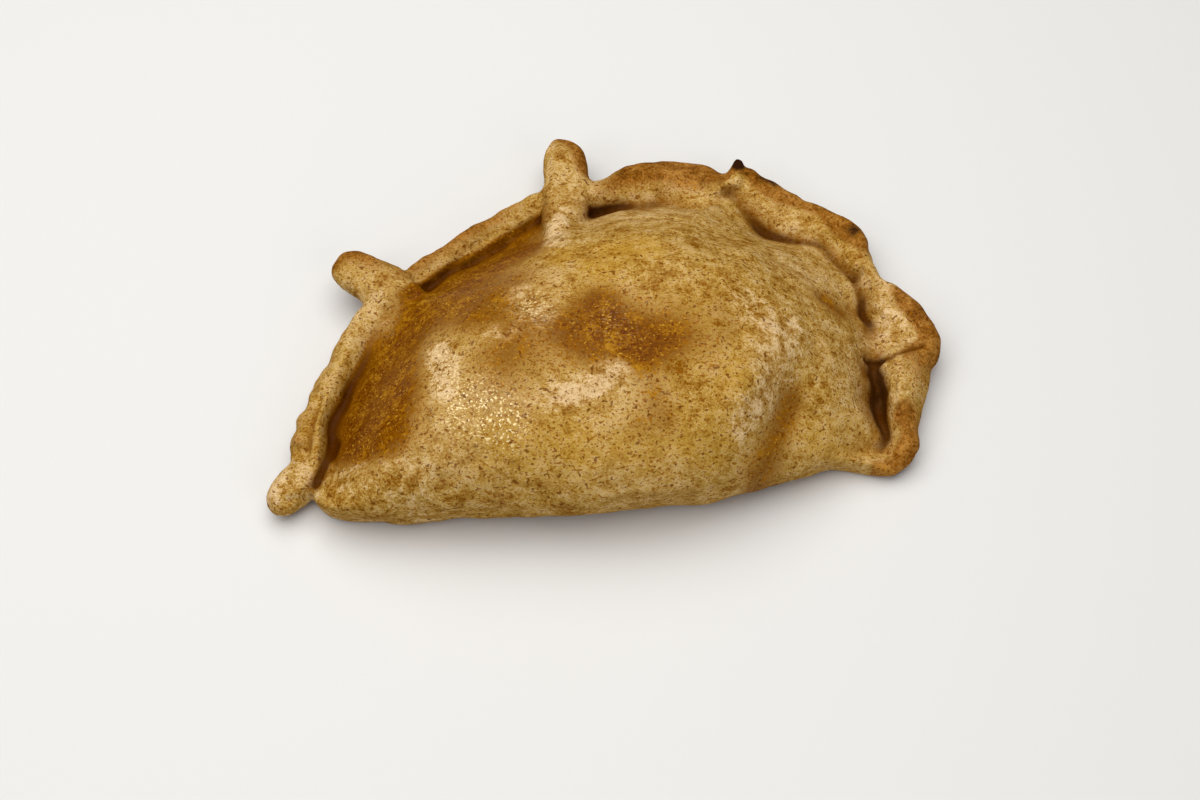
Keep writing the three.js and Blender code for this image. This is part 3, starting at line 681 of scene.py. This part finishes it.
crustFinish = {
    # dark, middle and light of each finish, as screen colours
    "dough": ((122, 74, 2), (178, 141, 66), (224, 198, 146)),
    "glaze": ((76, 28, 0), (116, 66, 0), (166, 116, 20)),
    "toast": ((62, 24, 0), (122, 67, 0), (172, 114, 16)),
    "shadeStops": (0.08, 0.5, 0.92),   # tones of the dark, middle and light
    "greyDough": (176, 138, 96),
    # pale dough, partly painted sheen
    "bloomDough": (222, 192, 150),
    "butterDough": (188, 146, 52),
    # painted shade of the creases, mixed with the brown of glaze pooled there
    "creaseBrown": (64, 27, 0),
    "creaseGold": (122, 72, 4),
    "branBrown": (98, 48, 0),
    "branGold": (134, 78, 4),
    "glazeSpot": (88, 33, 0),
    "glazeGlint": (200, 152, 48),
    "burnt": (46, 22, 8),
    # painted sparkles of highlight
    "spark": (255, 234, 178),
    # coordinates drawn out into fibres: millimetres of stirring, its wave length, stretch along the axes
    "fibre": (1.8, 7.0, (0.9, 1.1, 1.0)),
    "dash": (1.6, 4.0, (0.65, 1.1, 0.9)),
    # noises: coordinates, wave length in millimetres, detail, roughness, gain
    "noises": {
        "broad": ("place", 22.0, 2.0, 0.55, 4.0),
        "patch": ("place", 8.0, 4.0, 0.7, 4.0),
        "mottle": ("fibre", 3.2, 4.0, 0.8, 5.0),
        "bran": ("dash", 0.6, 1.0, 0.55, 4.0),
        "seed": ("place", 0.9, 0.0, 0.55, 4.0),
        "grain": ("place", 0.55, 1.0, 0.55, 4.0),
        "spot": ("place", 1.1, 0.0, 0.55, 4.0),
        "glint": ("place", 0.6, 0.0, 0.55, 4.0),
        "spark": ("fibre", 0.6, 1.0, 0.55, 4.0),
    },
    # shares of the noises in the dough's tone, and in the ragged edges of the marks
    "tone": {"mottle": 0.38, "patch": 0.26, "broad": 0.12, "grain": 0.24, "ridge": 0.12},
    "ragged": {
        "bloom": {"patch": 0.3, "mottle": 0.3},
        "butter": {"patch": 0.3},
        "glaze": {"patch": 0.35, "mottle": 0.35, "grain": 0.3},
        "toast": {"patch": 0.25, "mottle": 0.2},
        "burn": {"mottle": 0.2},
    },
    "paleSheenBreaks": {"mottle": 0.6, "grain": 0.4},
    "paleSheenOverGlaze": 0.35,         # how far the pale patches and painted sheen keep the glaze off
    "paleSheenOverBran": 0.7,           # and hides the bran
    "glazeTone": (0.95, 0.04),      # the tone's share in the glaze, and a lift
    # where each finish starts and is full along its value, and how much of it shows if not all
    "shows": {
        "greyDough": (-0.3, 0.5, 0.15),
        "butterDough": (0.1, 0.9, 0.4),
        "bloomDough": (0.25, 1.0, 0.65),
        "glaze": (0.1, 0.75),
        "glazeSpot": (0.6, 0.95, 0.75),
        "glazeGlint": (0.8, 1.1, 0.7),
        "toast": (0.25, 0.75, 0.8),
        "branGold": (0.4, 0.58, 0.75),
        "grainGold": (0.45, 0.7, 0.6),
        "branBrown": (0.8, 1.0, 0.75),
        "creaseGold": (0.15, 0.9, 0.6),
        "creaseBrown": (0.7, 1.5, 0.9),
        "burnt": (0.25, 0.75),
        "spark": (0.34, 0.6, 0.85),
    },
    "underToast": 0.6,
    "roughness": (0.68, 0.36),      # bare dough, glazed dough
    "specular": 0.01,
    "coat": (0.03, 0.25),           # on the glaze, where it shines
    "coatRoughness": 0.22,
    "bump": (0.6, 0.0003),          # strength, height in metres
    "bumpMix": {"mottle": 0.3, "bran": 0.08},
}


# Wholemeal crust: tan dough with fibrous mottling and bran flecks, washed with egg that browns and shines,
# toasted along its edges, darkened in its creases by painted shade and pooled glaze, with painted sheen on
# pale patches and painted sparkles where it shines
def bakedCrust(finish):
    material = bpy.data.materials.new("bakedCrust")
    material.use_nodes = True
    tree = material.node_tree
    tree.nodes.clear()
    bench = ShaderValue(tree)
    flat = {name: screenColour(*finish[name])
            for name in ("greyDough", "bloomDough", "butterDough", "creaseBrown", "creaseGold", "branBrown",
                         "branGold", "glazeSpot", "glazeGlint", "burnt", "spark")}
    three = {name: [screenColour(*colour) for colour in finish[name]] for name in ("dough", "glaze", "toast")}
    place = bench.node("ShaderNodeTexCoord", output="Object")

    # coordinates stirred by a soft noise, and drawn out along the pie, so that fibres curl
    def stirred(amount, size, stretch):
        swirl = bench.node("ShaderNodeTexNoise", None,
                           {"Vector": place, "Scale": 1000 / size, "Detail": 1.0}, "Color")
        swirl = bench.node("ShaderNodeVectorMath", {"operation": "SUBTRACT"}, {0: swirl, 1: (0.5, 0.5, 0.5)})
        swirl = bench.node("ShaderNodeVectorMath", {"operation": "SCALE"}, {0: swirl, "Scale": amount / 1000})
        moved = bench.node("ShaderNodeVectorMath", {"operation": "ADD"}, {0: place, 1: swirl})
        return bench.node("ShaderNodeMapping", None, {"Vector": moved, "Scale": stretch})

    # noise of a wave length in millimetres, about nought
    def noise(where, size, detail, rough, gain):
        raw = bench.node("ShaderNodeTexNoise", None,
                         {"Vector": where, "Scale": 1000 / size, "Detail": detail, "Roughness": rough})
        return (raw - 0.5) * gain

    # the stored marks and the noises, by name
    part = {name: bench.node("ShaderNodeAttribute", {"attribute_name": name}, output="Fac")
            for name in ("crease", "ridge", "under", "glaze", "toast", "burn", "bloom", "butter", "shine")}
    ways = {"place": place, "fibre": stirred(*finish["fibre"]), "dash": stirred(*finish["dash"])}
    for name, (way, *sizes) in finish["noises"].items():
        part[name] = noise(ways[way], *sizes)

    # a value with shares of the parts added
    def withParts(value, shares):
        for name, share in shares.items():
            value = value + part[name] * share
        return value

    # dark to light of a finish along a tone
    def shades(name, value):
        return value.ramp(*zip(finish["shadeStops"], three[name]))

    # a mark's value with its ragged edge
    def ragged(name, value):
        return withParts(value, finish["ragged"][name])

    # smooth step of a value between a finish's start and full
    def reached(name, value):
        return value.step(*finish["shows"][name][:2])

    # the same, times how much of the finish shows
    def shown(name, value):
        return reached(name, value) * finish["shows"][name][2]

    tone = withParts(0.5, finish["tone"])
    # pale patches, partly painted sheen
    paleSheenCover = reached("bloomDough", ragged("bloom", part["bloom"] * withParts(1, finish["paleSheenBreaks"])))
    glazed = reached("glaze", ragged("glaze", part["glaze"] - paleSheenCover * finish["paleSheenOverGlaze"]))
    glazeShare, glazeLift = finish["glazeTone"]

    dough = shades("dough", tone)
    dough = shown("greyDough", part["broad"]).tint(dough, flat["greyDough"])
    dough = shown("butterDough", ragged("butter", part["butter"])).tint(dough, flat["butterDough"])
    dough = (paleSheenCover * finish["shows"]["bloomDough"][2]).tint(dough, flat["bloomDough"])
    skin = glazed.tint(dough, shades("glaze", tone * glazeShare + glazeLift))
    skin = (shown("glazeSpot", part["spot"]) * glazed).tint(skin, flat["glazeSpot"])
    skin = (shown("glazeGlint", part["glint"]) * glazed).tint(skin, flat["glazeGlint"])
    skin = shown("toast", ragged("toast", part["toast"])).tint(skin, shades("toast", tone))
    bareOfPaleSheen = 1 - paleSheenCover * finish["paleSheenOverBran"]
    skin = (shown("branGold", part["bran"]) * bareOfPaleSheen).tint(skin, flat["branGold"])
    skin = shown("grainGold", part["grain"]).tint(skin, flat["branGold"])
    skin = shown("branBrown", part["seed"]).tint(skin, flat["branBrown"])
    # painted shade in hollows and grooves, partly pooled glaze
    skin = shown("creaseGold", part["crease"]).tint(skin, flat["creaseGold"])
    skin = shown("creaseBrown", part["crease"]).tint(skin, flat["creaseBrown"])
    skin = (part["under"] * finish["underToast"]).tint(skin, shades("toast", tone))
    skin = reached("burnt", ragged("burn", part["burn"])).tint(skin, flat["burnt"])
    # painted sparkles of highlight where the glaze shines
    skin = (shown("spark", part["spark"]) * part["shine"]).tint(skin, flat["spark"])

    dry, glossy = finish["roughness"]
    onGlaze, onShine = finish["coat"]
    strength, distance = finish["bump"]
    height = withParts(0, finish["bumpMix"])
    bump = bench.node("ShaderNodeBump", None, {"Strength": strength, "Distance": distance, "Height": height})
    surface = bench.node("ShaderNodeBsdfPrincipled", None, {
        "Base Color": skin, "Roughness": dry + glazed * (glossy - dry),
        "Coat Weight": glazed * onGlaze + part["shine"] * onShine, "Coat Roughness": finish["coatRoughness"],
        "Specular IOR Level": finish["specular"], "Normal": bump,
    })
    bench.node("ShaderNodeOutputMaterial", None, {"Surface": surface})
    return material


pieMesh = joinedDough(pieShape)
print("dough joined:", len(pieMesh.polygons), "faces")
dressCrust(pieMesh, pieShape, crustMarks)
print("crust carved and browned")
pieMesh.materials.append(bakedCrust(crustFinish))
empanada = bpy.data.objects.new("bakedEmpanada", pieMesh)
scene.collection.objects.link(empanada)
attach(empanada, "root")
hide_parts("empanada")
print("empanada in place")


# Pale floor, soft lights and the camera, in metres
studio = {
    "floorSize": 3.0,
    "floorColour": (0.7, 0.7, 0.7, 1),
    "floorRoughness": 0.7,
    "sky": 0.15,
    # place, size, power, colour
    "lights": [
        ((-0.1, 0.1, 0.7), 0.9, 7.5, (1.0, 0.98, 0.94)),
        ((0.5, -0.7, 0.5), 0.6, 1.5, (1.0, 0.98, 0.96)),
        ((-0.5, -0.4, 0.6), 0.3, 0.85, (1.0, 0.98, 0.96)),
    ],
    "cameraPlace": (-0.002203, -0.249297, 0.40168),
    "cameraTilt": 30.0,
    "lens": 56.84,
}


# flat square round the origin, level with the pie's underside
def paleFloor(size, colour, roughness):
    half = size / 2
    corners = np.array([(-half, -half, 0), (half, -half, 0), (half, half, 0), (-half, half, 0)])
    mesh = meshFrom("floor", corners, np.array([[0, 1, 2, 3]]), np.empty((0, 3), int))
    material = bpy.data.materials.new("paleFloor")
    material.use_nodes = True
    shader = material.node_tree.nodes["Principled BSDF"]
    shader.inputs["Base Color"].default_value = colour
    shader.inputs["Roughness"].default_value = roughness
    mesh.materials.append(material)
    floor = bpy.data.objects.new("floor", mesh)
    scene.collection.objects.link(floor)


# a soft square light turned to the pie
def softLight(place, size, power, colour):
    lamp = bpy.data.lights.new("softLight", "AREA")
    lamp.size, lamp.energy, lamp.color = size, power, colour
    holder = bpy.data.objects.new("softLight", lamp)
    holder.location = place
    holder.rotation_euler = (-Vector(place)).to_track_quat("-Z", "Y").to_euler()
    scene.collection.objects.link(holder)


paleFloor(studio["floorSize"], studio["floorColour"], studio["floorRoughness"])
for place, size, power, colour in studio["lights"]:
    softLight(place, size, power, colour)
sky = bpy.data.worlds.new("sky")
sky.use_nodes = True
sky.node_tree.nodes["Background"].inputs["Color"].default_value = (1, 1, 1, 1)
sky.node_tree.nodes["Background"].inputs["Strength"].default_value = studio["sky"]
scene.world = sky
scene.view_settings.view_transform = "Standard"

lens = bpy.data.cameras.new("camera")
lens.lens = studio["lens"]
camera = bpy.data.objects.new("camera", lens)
camera.location = studio["cameraPlace"]
camera.rotation_euler = (math.radians(studio["cameraTilt"]), 0, 0)
scene.collection.objects.link(camera)
scene.camera = camera
print("studio set")
